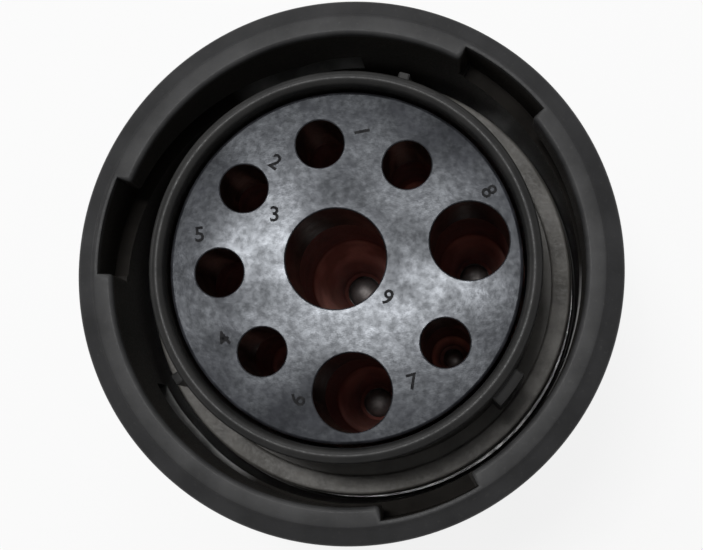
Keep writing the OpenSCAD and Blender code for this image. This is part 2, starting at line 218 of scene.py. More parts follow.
def soften(piece, width, where, segments=2, sharper_than=25):
    """Bevels the sharp edges whose middle, in millimetres, is in the given place."""
    take(piece)
    bpy.ops.object.mode_set(mode="EDIT")
    bpy.ops.mesh.select_mode(type="EDGE")
    bpy.ops.mesh.select_all(action="DESELECT")
    bpy.ops.mesh.edges_select_sharp(sharpness=math.radians(sharper_than))
    bpy.ops.object.mode_set(mode="OBJECT")
    mesh = piece.data
    sharp = [edge for edge in mesh.edges if edge.select]
    mesh.vertices.foreach_set("select", [False] * len(mesh.vertices))
    mesh.polygons.foreach_set("select", [False] * len(mesh.polygons))
    count = 0
    for edge in sharp:
        a, b = (mesh.vertices[v].co for v in edge.vertices)
        edge.select = bool(where((a + b) / 2 / MM))
        count += edge.select
    bpy.ops.object.mode_set(mode="EDIT")
    if count:
        bpy.ops.mesh.bevel(offset=width * MM, segments=segments, affect="EDGES", clamp_overlap=False)
        bpy.ops.mesh.select_all(action="SELECT")
        bpy.ops.mesh.remove_doubles(threshold=0.002 * MM)
    bpy.ops.object.mode_set(mode="OBJECT")
    print(f"{piece.name}: {count} edges softened by {width} mm")
    return piece


def smooth(piece, angle=30):
    """Shades a finished piece smooth, apart from its real edges, and keeps its large flat faces flat."""
    take(piece)
    bpy.ops.object.shade_smooth_by_angle(angle=math.radians(angle))
    bpy.ops.object.modifier_add(type="WEIGHTED_NORMAL")
    piece.modifiers[-1].keep_sharp = True
    bpy.ops.object.modifier_apply(modifier=piece.modifiers[-1].name)
    print(f"{piece.name}: {len(piece.data.polygons)} faces")
    return piece


# %% [markdown]
# A rectangle in the plane that holds the axis is the start of everything that runs only part of the way round:
# keys, bayonet slots and the open snap ring. It is drawn once, then spun through the angle that it needs.

# %% Helper for parts of a ring


def upright_rectangle(name, inner, outer, low, high):
    """A rectangle in the plane of X and Z, between two radii and two heights."""
    nothing_selected()
    bpy.ops.mesh.primitive_plane_add(size=1, rotation=(math.pi / 2, 0, 0))
    piece = bpy.context.object
    piece.name = name
    bpy.ops.transform.resize(value=((outer - inner) * MM, 1, (high - low) * MM))
    bpy.ops.transform.translate(value=((inner + outer) / 2 * MM, 0, (low + high) / 2 * MM))
    bpy.ops.object.transform_apply(location=True, rotation=True, scale=True)
    return piece


def spun(piece, start, sweep, step=1.0):
    """Spins a rectangle anticlockwise through a sweep of degrees, from a start angle."""
    take(piece)
    bpy.ops.object.mode_set(mode="EDIT")
    bpy.ops.mesh.select_all(action="SELECT")
    steps = max(1, round(sweep / step))
    # Without a window, spin and rotate turn clockwise for a positive angle.
    bpy.ops.transform.rotate(value=-math.radians(start), orient_axis="Z", center_override=(0, 0, 0))
    bpy.ops.mesh.spin(steps=steps, angle=-math.radians(sweep), center=(0, 0, 0), axis=(0, 0, 1))
    bpy.ops.mesh.select_all(action="SELECT")
    bpy.ops.mesh.remove_doubles(threshold=0.002 * MM)
    bpy.ops.mesh.normals_make_consistent(inside=False)
    bpy.ops.object.mode_set(mode="OBJECT")
    return piece


def copies_round(piece, angles):
    """A piece and its copies, each with its own mesh, turned round the plug's axis by each angle."""
    made = []
    for angle in angles:
        copy = piece.copy()
        copy.data = piece.data.copy()
        bpy.context.collection.objects.link(copy)
        copy.data.transform(Matrix.Rotation(math.radians(angle), 4, "Z"))
        made.append(copy)
    bpy.data.objects.remove(piece)
    return made


# %% [markdown]
# ## The coupling ring
# The outer ring is turned from aluminium bar. Its front is a narrow flat band round the bore, a faint slope
# and a rounded outer corner. The bore ends in a soft lip. Behind, an inner shoulder runs on the barrel.
# 360 sides give one vertex per degree, so the slots that are cut later start exactly on a vertex line.

# %% Coupling ring: turned blank
BORE_R = 20.9
GROOVE_R = 22.2
ring = turned("ring_turned", [
    (BORE_R, bottom("thrust_washer")), (18.46, bottom("thrust_washer")), (18.46, 24.9), (19.7, 24.9),
    (19.7, RING_REAR_Z + 0.15), (19.85, RING_REAR_Z)]
    + arc(RING_R - 0.8, RING_REAR_Z + 0.8, 0.8, -90, 0)
    + [(RING_R, 30), (RING_R, 38)]
    + arc(RING_R - 0.6, RING_FRONT_Z - 1.1, 0.6, 0, 66, 7)
    + [(23.0, RING_FRONT_Z - 0.32), (22.8, RING_FRONT_Z - 0.2)]
    + arc(22.55, RING_FRONT_Z - 0.15, 0.15, 20, 90, 3)
    + arc(BORE_R + 0.45, RING_FRONT_Z - 0.45, 0.45, 90, 180, 6), sides=360)
print("profile turned:", len(ring.data.vertices), "points")

# %% [markdown]
# Three bayonet slots let the studs of the mating half in, and a sloping groove behind each slot pulls them
# home as the ring turns. The slot is a spun rectangle. The groove is another rectangle that is extruded in
# steps of one degree, each lowered a little, and its last part rises again as a detent.

# %% Coupling ring: bayonet slots and grooves
SLOT_SWEEP = 23.0
SLOT_MIDDLES = (49.5, 169.5, 289.5)
LOCK_TURN = 66.0
GROOVE_DROP = 5.4
ENTRY_Z = RING_FRONT_Z - 6.4
GROOVE_W = 3.8


def groove_height(turn):
    """Height of a groove's rear flank at a turn, in degrees, from the middle of its slot."""
    rise = 0.6 * min(max((turn - LOCK_TURN) / 8, 0), 1)
    return ENTRY_Z - GROOVE_DROP * min(turn, LOCK_TURN) / LOCK_TURN + rise


def groove_cutter(name, first=-10.5, step=1.0, steps=92):
    """A cutter that follows the sloping groove clockwise from its slot, starting at the angle 0."""
    low = groove_height(first)
    cutter = upright_rectangle(name, BORE_R - 1, GROOVE_R, low, low + GROOVE_W)
    take(cutter)
    bpy.ops.object.mode_set(mode="EDIT")
    bpy.ops.mesh.select_all(action="SELECT")
    bpy.ops.transform.rotate(value=math.radians(first), orient_axis="Z", center_override=(0, 0, 0))
    for i in range(steps):
        fall = groove_height(first + step * (i + 1)) - groove_height(first + step * i)
        bpy.ops.mesh.extrude_region_move(TRANSFORM_OT_translate={"value": (0, 0, fall * MM)})
        bpy.ops.transform.rotate(value=math.radians(step), orient_axis="Z", center_override=(0, 0, 0))
    bpy.ops.mesh.select_all(action="SELECT")
    bpy.ops.mesh.normals_make_consistent(inside=False)
    bpy.ops.object.mode_set(mode="OBJECT")
    return cutter


slot_floor = groove_height(-SLOT_SWEEP / 2) + 0.4
slot = upright_rectangle("slot_cutter", BORE_R - 1, GROOVE_R, slot_floor, RING_FRONT_Z + 1)
spun(slot, -SLOT_SWEEP / 2, SLOT_SWEEP)
combine(ring, copies_round(slot, SLOT_MIDDLES))
soften(ring, 0.35, lambda place: place.xy.length < BORE_R + 0.44 and place.z > slot_floor + 0.05,
       segments=4, sharper_than=60)
combine(ring, copies_round(groove_cutter("groove_cutter"), SLOT_MIDDLES))
print("slots and grooves cut:", len(ring.data.polygons), "faces")

# %% [markdown]
# Twenty-four shallow flutes give the fingers a grip. One cutter is a sphere whose upper half is pulled up,
# a capsule, and it is copied round the ring. Then the corners that the cutters left are softened.

# %% Coupling ring: grip flutes and edges


def flute_cutter(name, radius, depth, size, low, high):
    """An upright capsule that scoops one grip flute out of a wall of the given radius."""
    x = (radius - depth + size) * MM
    nothing_selected()
    bpy.ops.mesh.primitive_uv_sphere_add(segments=40, ring_count=20, radius=size * MM, location=(x, 0, 0))
    cutter = bpy.context.object
    cutter.name = name
    bpy.ops.object.transform_apply(location=True)
    bpy.ops.object.mode_set(mode="EDIT")
    bpy.ops.mesh.select_mode(type="VERT")
    bpy.ops.mesh.select_all(action="DESELECT")
    bpy.ops.object.mode_set(mode="OBJECT")
    for corner in cutter.data.vertices:
        corner.select = corner.co.z > 0.1 * MM
    bpy.ops.object.mode_set(mode="EDIT")
    bpy.ops.transform.translate(value=(0, 0, (high - low - 2 * size) * MM))
    bpy.ops.mesh.select_all(action="SELECT")
    bpy.ops.transform.translate(value=(0, 0, (low + size) * MM))
    bpy.ops.object.mode_set(mode="OBJECT")
    return cutter


flute = flute_cutter("ring_flute", RING_R, 0.8, 2.53, RING_REAR_Z + 2.2, RING_FRONT_Z - 4.5)
combine(ring, copies_round(flute, [360 * (i + 0.5) / 24 for i in range(24)]))


def slot_edge(place):
    """True for the front contour of the slots."""
    return math.hypot(place.x, place.y) < GROOVE_R + 0.1 and place.z > RING_FRONT_Z - 0.6


def flute_edge(place):
    """True for the rims of the grip flutes."""
    return math.hypot(place.x, place.y) > RING_R - 0.3 and RING_REAR_Z + 1 < place.z < RING_FRONT_Z - 4


soften(ring, 0.12, slot_edge)
soften(ring, 0.15, flute_edge, sharper_than=12)
smooth(ring)
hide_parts("coupling_ring")
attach(ring, "ring_body")

# %% [markdown]
# ## The shell
# The shell is one turned piece: a barrel with a fully rounded rim, a flange, the journal that the ring turns
# on, a groove for the snap ring, and the threaded tail. The thread is a row of notches, which is enough for
# the little of it that shows between the nut and the ring. Three keys are spun blocks united with the barrel.

# %% Shell
BARREL_IN, BARREL_OUT = 15.85, 17.2
RIM_SIZE = (BARREL_OUT - BARREL_IN) / 2
TAIL_Z = bottom("shell")
FLANGE_Z = bottom("flange_gasket")
JOURNAL_R = 18.4
THREAD_R = 18.2


def notch(height):
    """Profile points of one thread notch, from its upper to its lower edge."""
    return [(THREAD_R, height + 0.6), (THREAD_R - 0.6, height + 0.05), (THREAD_R - 0.6, height - 0.05),
            (THREAD_R, height - 0.6)]


thread = [point for i in range(7, 0, -1) for point in notch(TAIL_Z + 1.5 * i)]
shell = turned("shell_turned", [
    (BARREL_OUT, FLANGE_Z), (20.2, FLANGE_Z), (20.35, FLANGE_Z - 0.15), (20.35, FLANGE_Z - 2.35),
    (20.2, FLANGE_Z - 2.5), (JOURNAL_R, FLANGE_Z - 2.5), (JOURNAL_R, 24.9), (17.5, 24.9), (17.5, 23.8),
    (JOURNAL_R, 23.8), (JOURNAL_R, 19.3), (THREAD_R, 19.1), (17.35, 19.1), (17.35, 17.5), (THREAD_R, 17.5)]
    + thread
    + [(THREAD_R, TAIL_Z + 0.4), (THREAD_R - 0.4, TAIL_Z), (16.6, TAIL_Z), (16.6, 31.85), (BARREL_IN, 31.85)]
    + arc(BARREL_IN + RIM_SIZE, RIM_Z - RIM_SIZE, RIM_SIZE, 180, 0, 14))
print("shell turned:", len(shell.data.vertices), "points")

# %% Shell: keys
KEY_TOP_Z = RIM_Z - 2.4
for key_name, middle, width in (("main_key", -37, 11), ("upper_key", 73, 3.5), ("lower_key", 213, 3.5)):
    key = upright_rectangle(key_name, BARREL_OUT - 0.6, BARREL_OUT + 1, FLANGE_Z - 0.2, KEY_TOP_Z)
    spun(key, middle - width / 2, width, step=0.5)
    combine(shell, [key], "UNION")
soften(shell, 0.18, lambda place: math.hypot(place.x, place.y) > BARREL_OUT + 0.05
       and FLANGE_Z + 1 < place.z < KEY_TOP_Z + 0.1)
smooth(shell)
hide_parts("shell")
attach(shell, "plug_body")

# %% [markdown]
# ## The insert
# The hard grey insert is a moulded disc with nine cavity mouths: one large, two medium, six small. The mouths
# are cut with turned rods that stand where the CAD contacts stand, and their edges get the small radius that
# a mould leaves.

# %% Insert
SIGNALS = [f"contact_signal_{i}" for i in range(1, 7)]
POWERS = ["contact_power_1", "contact_power_2"]
CAVITY_R = {"contact_main": 4.45, **{name: 3.45 for name in POWERS}, **{name: 2.15 for name in SIGNALS}}
PIN_R = {"contact_main": 1.7, **{name: 1.5 for name in POWERS}, **{name: 1.0 for name in SIGNALS}}

insert_r = outside("front_insert")
insert = turned("insert_moulded", [(insert_r, bottom("front_insert")), (insert_r, FACE_Z - 0.3)]
                + arc(insert_r - 0.3, FACE_Z - 0.3, 0.3, 15, 90, 5), solid=True)
rods = [turned("rod", [(CAVITY_R[name], bottom("front_insert") - 1), (CAVITY_R[name], FACE_Z + 1)],
               sides=96, at=centre(name), solid=True) for name in CAVITY_R]
combine(insert, rods)
soften(insert, 0.12, lambda place: place.z > FACE_Z - 0.01 and math.hypot(place.x, place.y) < insert_r - 0.6,
       segments=3)
smooth(insert, 12)
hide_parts("front_insert")
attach(insert, "plug_body")

# %% [markdown]
# Small figures beside the cavities tell which wire goes where. Each is a text object that is given a little
# thickness, made a mesh and sunk into the face, so that only a thin raised layer shows.

# %% Insert: position figures
FIGURES = (("9", 3.75, -2.9, -25), ("1", 1.49, 11.9, -80), ("2", -6.2, 9.3, -35), ("4", -10.6, -6.4, 40),
           ("6", -4.0, -11.7, 60), ("8", 12.6, 6.3, -60), ("7", 5.9, -10.2, 15), ("5", -12.9, 2.9, 5),
           ("3", -6.2, 4.6, 0))
figures = []
for figure, x, y, turn in FIGURES:
    nothing_selected()
    bpy.ops.object.text_add(location=(x * MM, y * MM, (FACE_Z - 0.01) * MM),
                            rotation=(0, 0, math.radians(turn)))
    mark = bpy.context.object
    mark.data.body = figure
    mark.data.size = 1.9 * MM
    mark.data.align_x = mark.data.align_y = "CENTER"
    mark.data.extrude = 0.03 * MM
    mark.data.offset = 0.035 * MM
    mark.data.resolution_u = 3
    bpy.ops.object.convert(target="MESH")
    bpy.ops.object.transform_apply(location=True, rotation=True, scale=True)
    figures.append(bpy.context.object)
marks = joined(figures)
marks.name = "position_figures"
bpy.ops.object.mode_set(mode="EDIT")
bpy.ops.mesh.select_all(action="SELECT")
bpy.ops.mesh.remove_doubles(threshold=0.002 * MM)
bpy.ops.mesh.normals_make_consistent(inside=False)
bpy.ops.object.mode_set(mode="OBJECT")
print("figures:", len(figures))
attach(marks, "plug_body")

# %% [markdown]
# ## The red seal
# Behind the insert the cavities go on through brick-red silicone, and narrow in funnels that wipe the pins
# clean. The CAD model has the seal in two layers. One mesh stands for both, so that no seam shows inside.
# Each cutter is a turned rod with the funnel's profile.

# %% Seal
FUNNEL_Z = top("throat_seal")
SEAL_Z = bottom("throat_seal")


def tip_height(name):
    """Height of a pin's tip: where its CAD node ends."""
    return top(name)


def funnel_profile(name):
    """Profile of one cavity: a throat with a lip that hugs the pin, the funnel, and the straight bore."""
    pin, tip = PIN_R[name], tip_height(name)
    lip_top = max(tip - pin, SEAL_Z + 0.5)
    return [(pin + 0.03, SEAL_Z - 1), (pin + 0.03, lip_top), (pin + 0.35, lip_top + 0.3),
            (pin + 0.45, tip + 0.9), (CAVITY_R[name] - 0.25, FUNNEL_Z - 0.45),
            (CAVITY_R[name], FUNNEL_Z), (CAVITY_R[name], 38.5)]


seal = turned("seal_moulded", [
    (16.55, SEAL_Z), (16.55, top("cavity_seal") - 5.7),
    (15.8, top("cavity_seal") - 5.7), (15.8, top("cavity_seal"))], solid=True)
combine(seal, [turned("funnel", funnel_profile(name), sides=96, at=centre(name), solid=True)
               for name in CAVITY_R])
smooth(seal, 40)
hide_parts("cavity_seal", "throat_seal")
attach(seal, "plug_body")

# %% [markdown]
# ## The pins
# Nine pin contacts stand deep in the cavities. A pin is a rod with a domed tip, a collar that rests against
# the retention plate, and a hollow rear end for the wire. One of each kind is turned, and the other pins of
# that kind are copies with their own meshes.

# %% Pins
CRIMP_R = {"contact_main": 2.7, "contact_power_1": 2.25, "contact_signal_1": 1.45}
COLLAR_Z = (17.3, 18.88)


def pin_profile(name, crimp, pin):
    """Profile of a pin from the bottom of its wire hole, round the rear end and up to the domed tip."""
    rear, tip = bottom(name), tip_height(name)
    hole, shank = crimp - 0.7, crimp - 0.35
    return ([(hole * 0.1, rear + 5.4), (hole * 0.9, rear + 5), (hole, rear + 4.8), (hole, rear + 0.15),
             (hole + 0.12, rear), (crimp - 0.12, rear), (crimp, rear + 0.12), (crimp, rear + 6.4),
             (crimp - 0.12, rear + 6.6), (shank, rear + 6.6), (shank, COLLAR_Z[0]), (shank + 0.6, COLLAR_Z[0]),
             (shank + 0.7, COLLAR_Z[0] + 0.1), (shank + 0.7, COLLAR_Z[1] - 0.1), (shank + 0.6, COLLAR_Z[1]),
             (pin, COLLAR_Z[1])] + arc(0, tip - pin, pin, 0, 88, 12))


def give_pin(pin, name):
    """Lets a pin stand for its CAD node."""
    pin.name = name.replace("contact", "pin")
    smooth(pin)
    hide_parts(name)
    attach(pin, "plug_body")
    return pin


pins = []
for kind, members in (("contact_main", ["contact_main"]), ("contact_power_1", POWERS),
                      ("contact_signal_1", SIGNALS)):
    first = turned("pin", pin_profile(kind, CRIMP_R[kind], PIN_R[kind]), sides=64, solid=True)
    for name in members:
        copy = first.copy()
        copy.data = first.data.copy()
        bpy.context.collection.objects.link(copy)
        x, y = centre(name)
        copy.data.transform(Matrix.Translation((x * MM, y * MM, 0)))
        pins.append(give_pin(copy, name))
    bpy.data.objects.remove(first)
print("pins:", len(pins))

# %% [markdown]
# ## Gasket, O-ring, follower and grommet
# The soft and pressed rings are simple turned profiles, but their corners are rounded, because a moulded
# rubber edge is never sharp. The grommet at the rear has ribs outside that grip the shell, and nine wire holes.

# %% Gasket
gasket = turned("gasket_moulded", arc(18.65, 33.35, 0.25, 180, 270, 3) + arc(19.9, 33.35, 0.25, 270, 360, 3)
                + arc(19.9, 33.85, 0.25, 0, 90, 4) + arc(18.65, 33.85, 0.25, 90, 180, 4))
smooth(gasket, 50)
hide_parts("flange_gasket")
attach(gasket, "plug_body")

# %% O-ring and follower
o_ring = turned("o_ring_moulded", arc(18.15, 18.3, 0.78, 0, 345, 23))
smooth(o_ring, 50)
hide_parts("tail_o_ring")
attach(o_ring, "plug_body")

follower = turned("follower_turned", [(13.5, 3.9), (16.45, 3.9), (16.55, 4.0), (16.55, 5.3), (16.45, 5.4),
                                      (13.5, 5.4), (13.4, 5.3), (13.4, 4.0)])
smooth(follower)
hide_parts("grommet_follower")
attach(follower, "plug_body")

# %% Grommet
GROMMET_Z, PLATE_Z = bottom("rear_grommet"), top("rear_grommet")
ribs = [(16.55, GROMMET_Z)]
for i in range(1, 4):
    z = GROMMET_Z + 2.4 * i
    ribs += [(16.55, z - 0.6), (16.2, z - 0.45), (16.2, z + 0.45), (16.55, z + 0.6)]
grommet = turned("grommet_moulded", ribs + [(16.55, PLATE_Z)], solid=True)
WIRE_HOLES = {"contact_main": 2.7, **{name: 2.25 for name in POWERS}, **{name: 1.45 for name in SIGNALS}}
holes = [turned("wire_hole", [
    (r + 0.05, PLATE_Z + 1), (r + 0.05, GROMMET_Z + 1.9), (r - 0.35, GROMMET_Z + 1.5),
    (r - 0.35, GROMMET_Z + 0.4), (r, GROMMET_Z), (r, GROMMET_Z - 1)],
    sides=64, at=centre(name), solid=True) for name, r in WIRE_HOLES.items()]
combine(grommet, holes)
smooth(grommet, 40)
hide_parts("rear_grommet")
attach(grommet, "plug_body")

# %% [markdown]
# ## The rear nut
# The nut closes the rear and presses on the grommet. It is turned like the ring, and shares its way of making
# grip flutes, with a smaller capsule.

# %% Rear nut
NUT_R = outside("end_nut")
NUT_TOP = top("end_nut")
nut = turned("nut_turned", [(18.25, NUT_TOP - 0.4), (18.25, 3.9), (13.3, 3.9), (13.2, 3.8), (13.2, 0.4)]
             + arc(13.6, 0.4, 0.4, 180, 270, 4) + arc(NUT_R - 0.8, 0.8, 0.8, 270, 360, 6)
             + arc(NUT_R - 0.8, NUT_TOP - 0.8, 0.8, 0, 90, 6) + [(18.65, NUT_TOP)], sides=288)
nut_flute = flute_cutter("nut_flute", NUT_R, 0.6, 2.9, 1.2, NUT_TOP - 1.2)
combine(nut, copies_round(nut_flute, [360 * (i + 0.5) / 18 for i in range(18)]))
soften(nut, 0.15, lambda place: math.hypot(place.x, place.y) > NUT_R - 0.5 and 1.2 < place.z < 12.8,
       sharper_than=12)
smooth(nut)
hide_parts("end_nut")
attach(nut, "plug_body")

# %% [markdown]
# ## The snap ring
# An open spring-steel ring holds the coupling ring on the shell. Its two ears have holes for pliers.

# %% Snap ring
CLIP_LOW, CLIP_HIGH = bottom("retaining_clip"), top("retaining_clip")
OPENING = 34.0
snap_ring = upright_rectangle("snap_ring", 17.55, 19.3, CLIP_LOW, CLIP_HIGH)
spun(snap_ring, OPENING / 2, 360 - OPENING, step=2.0)
for side in (-1, 1):
    angle = math.radians(side * OPENING / 2)
    place = (18.6 * math.cos(angle), 18.6 * math.sin(angle))
    ear = turned("ear", [(1.0, CLIP_LOW + 0.03), (1.0, CLIP_HIGH - 0.03)], sides=40, at=place, solid=True)
    combine(snap_ring, [ear], "UNION")
    hole = turned("ear_hole", [(0.45, CLIP_LOW - 1), (0.45, CLIP_HIGH + 1)], sides=32, at=place, solid=True)
    combine(snap_ring, [hole])
soften(snap_ring, 0.05, lambda place: math.hypot(place.x, place.y) > 17 and
       abs(math.degrees(math.atan2(place.y, place.x))) > OPENING / 2 + 5, sharper_than=60)
smooth(snap_ring)
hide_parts("retaining_clip")
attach(snap_ring, "plug_body")

# %% [markdown]
# The wave spring is a flat steel ring bent into four waves. It is turned flat, and then each of its points is
# raised by a cosine of its angle.

# %% Wave spring
SPRING_T = 0.45
SPRING_IN = 18.82
SPRING_OUT = 20.38
WAVES = 4
spring_low, spring_high = bottom("wave_spring"), top("wave_spring")
spring_middle = (spring_low + spring_high) / 2
spring_swing = (spring_high - spring_low - SPRING_T) / 2
spring = turned("wave_spring_bent", [
    (SPRING_IN, spring_middle - SPRING_T / 2), (SPRING_OUT, spring_middle - SPRING_T / 2),
    (SPRING_OUT, spring_middle + SPRING_T / 2), (SPRING_IN, spring_middle + SPRING_T / 2)])
for point in spring.data.vertices:
    point.co.z += spring_swing * math.cos(WAVES * math.atan2(point.co.y, point.co.x)) * MM
smooth(spring)
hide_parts("wave_spring")
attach(spring, "plug_body")
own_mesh(spring)

# %% [markdown]
# ## Finishes
# All finishes are made from nodes on Object coordinates, which are metres here, so a noise scale of 1000
# has features of about a millimetre. A helper starts each finish with the Principled shader. Others add
# a noise, a colour ramp and a bump, which is all that most machined and moulded surfaces need.

# %% Finish helpers


class Finish:
    """A material with a Principled shader, built up node by node."""

    def __init__(self, name):
        self.material = bpy.data.materials.new(name)
        self.material.use_nodes = True
        self.tree = self.material.node_tree
        self.shader = self.tree.nodes["Principled BSDF"]
        self.place = self.tree.nodes.new("ShaderNodeTexCoord").outputs["Object"]

    def set(self, **values):
        """Sets the shader's own sockets, with underscores for spaces."""
        for name, value in values.items():
            self.shader.inputs[name.replace("_", " ")].default_value = value
        return self

    def node(self, kind, **values):
        node = self.tree.nodes.new(kind)
        for name, value in values.items():
            setattr(node, name, value)
        return node

    def link(self, output, entry):
        self.tree.links.new(output, entry)
        return output

    def stretched(self, scale, turn=(0, 0, 0)):
        """The Object coordinates through a Mapping node that stretches or turns them."""
        mapping = self.node("ShaderNodeMapping")
        mapping.inputs["Scale"].default_value = scale
        mapping.inputs["Rotation"].default_value = turn
        self.link(self.place, mapping.inputs["Vector"])
        return mapping.outputs["Vector"]

    def noise(self, scale, detail=3.0, roughness=0.5, place=None):
        noise = self.node("ShaderNodeTexNoise")
        noise.inputs["Scale"].default_value = scale
        noise.inputs["Detail"].default_value = detail
        noise.inputs["Roughness"].default_value = roughness
        self.link(place or self.place, noise.inputs["Vector"])
        return noise.outputs["Fac"]

    def ramp(self, value, *stops):
        """A colour ramp with stops of (position, red, green, blue)."""
        ramp = self.node("ShaderNodeValToRGB")
        while len(ramp.color_ramp.elements) < len(stops):
            ramp.color_ramp.elements.new(0.5)
        for element, (position, *colour) in zip(ramp.color_ramp.elements, stops):
            element.position = position
            element.color = (*colour, 1)
        self.link(value, ramp.inputs["Fac"])
        return ramp.outputs["Color"]

    def up(self, low=0.4, high=0.9):
        """1 where the surface faces up along the plug's axis, 0 on its walls."""
        split = self.node("ShaderNodeSeparateXYZ")
        self.link(self.tree.nodes["Texture Coordinate"].outputs["Normal"], split.inputs[0])
        return self.spread(split.outputs["Z"], low, high, 0, 1)

    def height(self, low, high):
        """Rises from 0 to 1 between two heights in millimetres."""
        split = self.node("ShaderNodeSeparateXYZ")
        self.link(self.place, split.inputs[0])
        return self.spread(split.outputs["Z"], low * MM, high * MM, 0, 1)

    def radius(self, low, high):
        """Rises from 0 to 1 between two distances from the plug's axis in millimetres."""
        flat = self.node("ShaderNodeVectorMath", operation="MULTIPLY")
        flat.inputs[1].default_value = (1, 1, 0)
        self.link(self.place, flat.inputs[0])
        length = self.node("ShaderNodeVectorMath", operation="LENGTH")
        self.link(flat.outputs["Vector"], length.inputs[0])
        return self.spread(length.outputs["Value"], low * MM, high * MM, 0, 1)

    def maths(self, operation, first, second=1.0):
        """A Math node on two values, or on a value and a number."""
        node = self.node("ShaderNodeMath", operation=operation)
        for value, entry in ((first, node.inputs[0]), (second, node.inputs[1])):
            if hasattr(value, "is_linked"):
                self.link(value, entry)
            else:
                entry.default_value = value
        return node.outputs[0]

    def spread(self, value, low, high, to_low, to_high):
        """Maps a value from one range to another, held inside it."""
        spread = self.node("ShaderNodeMapRange")
        for name, number in (("From Min", low), ("From Max", high), ("To Min", to_low), ("To Max", to_high)):
            spread.inputs[name].default_value = number
        self.link(value, spread.inputs["Value"])
        return spread.outputs["Result"]

    def mix(self, factor, first, second, blend="MIX"):
        """Mixes two colours by a factor."""
        mix = self.node("ShaderNodeMix", data_type="RGBA", blend_type=blend)
        for value, entry in ((factor, mix.inputs["Factor"]), (first, mix.inputs[6]), (second, mix.inputs[7])):
            if hasattr(value, "is_linked"):
                self.link(value, entry)
            else:
                entry.default_value = value
        return mix.outputs[2]

    def bump(self, *heights):
        """One bump from several (height, distance in millimetres, strength) entries, coarse to fine."""
        normal = None
        for height, distance, strength in heights:
            bump = self.node("ShaderNodeBump")
            bump.inputs["Distance"].default_value = distance * MM
            bump.inputs["Strength"].default_value = strength
            self.link(height, bump.inputs["Height"])
            if normal:
                self.link(normal, bump.inputs["Normal"])
            normal = bump.outputs["Normal"]
        self.link(normal, self.shader.inputs["Normal"])
        return self

    def colour(self, output):
        self.link(output, self.shader.inputs["Base Color"])
        return self

    def roughness(self, output):
        self.link(output, self.shader.inputs["Roughness"])
        return self


def wear(piece, finish):
    """Puts a finish on a piece."""
    piece.data.materials.clear()
    piece.data.materials.append(finish.material)
    print(piece.name, "wears", finish.material.name)


# %% [markdown]
# ### Anodised metal
# Hard-anodised aluminium is nearly black-grey and satin. The layer is thin and slightly porous, so the colour
# wanders a little and fine dust sits on it. Painted shade darkens the inside of the ring. A lighter colour at
# the groove ends is wear with a painted highlight, with a faint painted highlight on the front lip, and pale
# dust lies
# on the flange. These follow simple masks: how far a spot is from the plug's axis, how high it is and whether
# it faces up. Turning marks are a noise that is squeezed along Z.

# %% Anodised metal


def anodised(name, dark, light, rough, gloss, painted_bore_shade=None, wear_and_highlight=None, shelf_dust=None):
    """Dark anodised aluminium: dark and light ends of its colour, its shine, and masks for painted shade, for
    wear with a painted highlight, and for dust.
    """
    finish = Finish(name)
    cloud = finish.noise(260, 4, 0.55)
    grain = finish.noise(5200, 2, 0.6)
    turning = finish.noise(900, 2, 0.5, finish.stretched((0.04, 0.04, 6)))
    look = finish.ramp(cloud, (0.35, *dark), (0.68, *light))
    specks = finish.spread(finish.noise(2300, 3, 0.7), 0.6, 0.8, 0, 0.2)
    look = finish.mix(specks, look, (0.12, 0.118, 0.112, 1))
    if painted_bore_shade:
        # Painted shade inside the ring's bore: a near-black colour and a third of the shine where the mask is
        # 1.
        bore_shade_mask = painted_bore_shade(finish)
        look = finish.mix(bore_shade_mask, look, finish.ramp(
            cloud, (0.35, 0.009, 0.008, 0.007), (0.7, 0.018, 0.016, 0.014)))
        finish.link(finish.spread(bore_shade_mask, 0, 1, gloss, gloss / 3), finish.shader.inputs["Specular IOR Level"])
    if wear_and_highlight:
        # Wear and painted highlight: a light grey where the mask is 1.
        look = finish.mix(wear_and_highlight(finish), look, finish.ramp(
            cloud, (0.35, 0.12, 0.12, 0.118), (0.7, 0.3, 0.3, 0.295)))
    if shelf_dust:
        look = finish.mix(shelf_dust(finish), look, finish.ramp(cloud, (0.35, 0.09, 0.086, 0.078),
                                                                (0.7, 0.16, 0.152, 0.14)))
    finish.colour(look)
    finish.roughness(finish.spread(grain, 0.3, 0.7, rough - 0.06, rough + 0.08))
    finish.set(Specular_IOR_Level=gloss)
    finish.bump((turning, 0.01, 0.25), (grain, 0.012, 0.3))
    return finish


def ring_bore_painted_shade(finish):
    """Painted shade inside the ring: everywhere behind its front lip and within its groove radius."""
    inside = finish.maths("SUBTRACT", 1.0, finish.radius(GROOVE_R + 0.1, GROOVE_R + 0.2))
    behind = finish.maths("SUBTRACT", 1.0, finish.height(RING_FRONT_Z - 0.9, RING_FRONT_Z - 0.3))
    return finish.maths("MULTIPLY", inside, behind)


def ring_wear_and_highlight(finish):
    """Lighter colour on the up-facing flank near the end of each groove: wear where studs rub, and a painted
    highlight where the flank catches light from above. A faint painted highlight on the front lip.
    """
    near_end = finish.maths("SUBTRACT", 1.0, finish.height(35.3, 36.0))
    flank = finish.maths("MULTIPLY", finish.up(), finish.radius(BORE_R - 0.1, BORE_R + 0.1))
    groove_end = finish.maths("MULTIPLY", near_end, flank)
    inner = finish.maths("SUBTRACT", 1.0, finish.radius(BORE_R + 1.4, BORE_R + 1.8))
    lip = finish.maths("MULTIPLY", finish.height(RING_FRONT_Z - 0.7, RING_FRONT_Z - 0.3), inner)
    return finish.maths("ADD", groove_end, finish.maths("MULTIPLY", lip, 0.06))


def flange_dust(finish):
    """Pale dust that lies on the flange, which faces up at the bottom of the gap round the barrel."""
    low_down = finish.maths("SUBTRACT", 1.0, finish.height(FLANGE_Z + 0.5, FLANGE_Z + 2))
    return finish.maths("MULTIPLY", finish.up(), low_down)
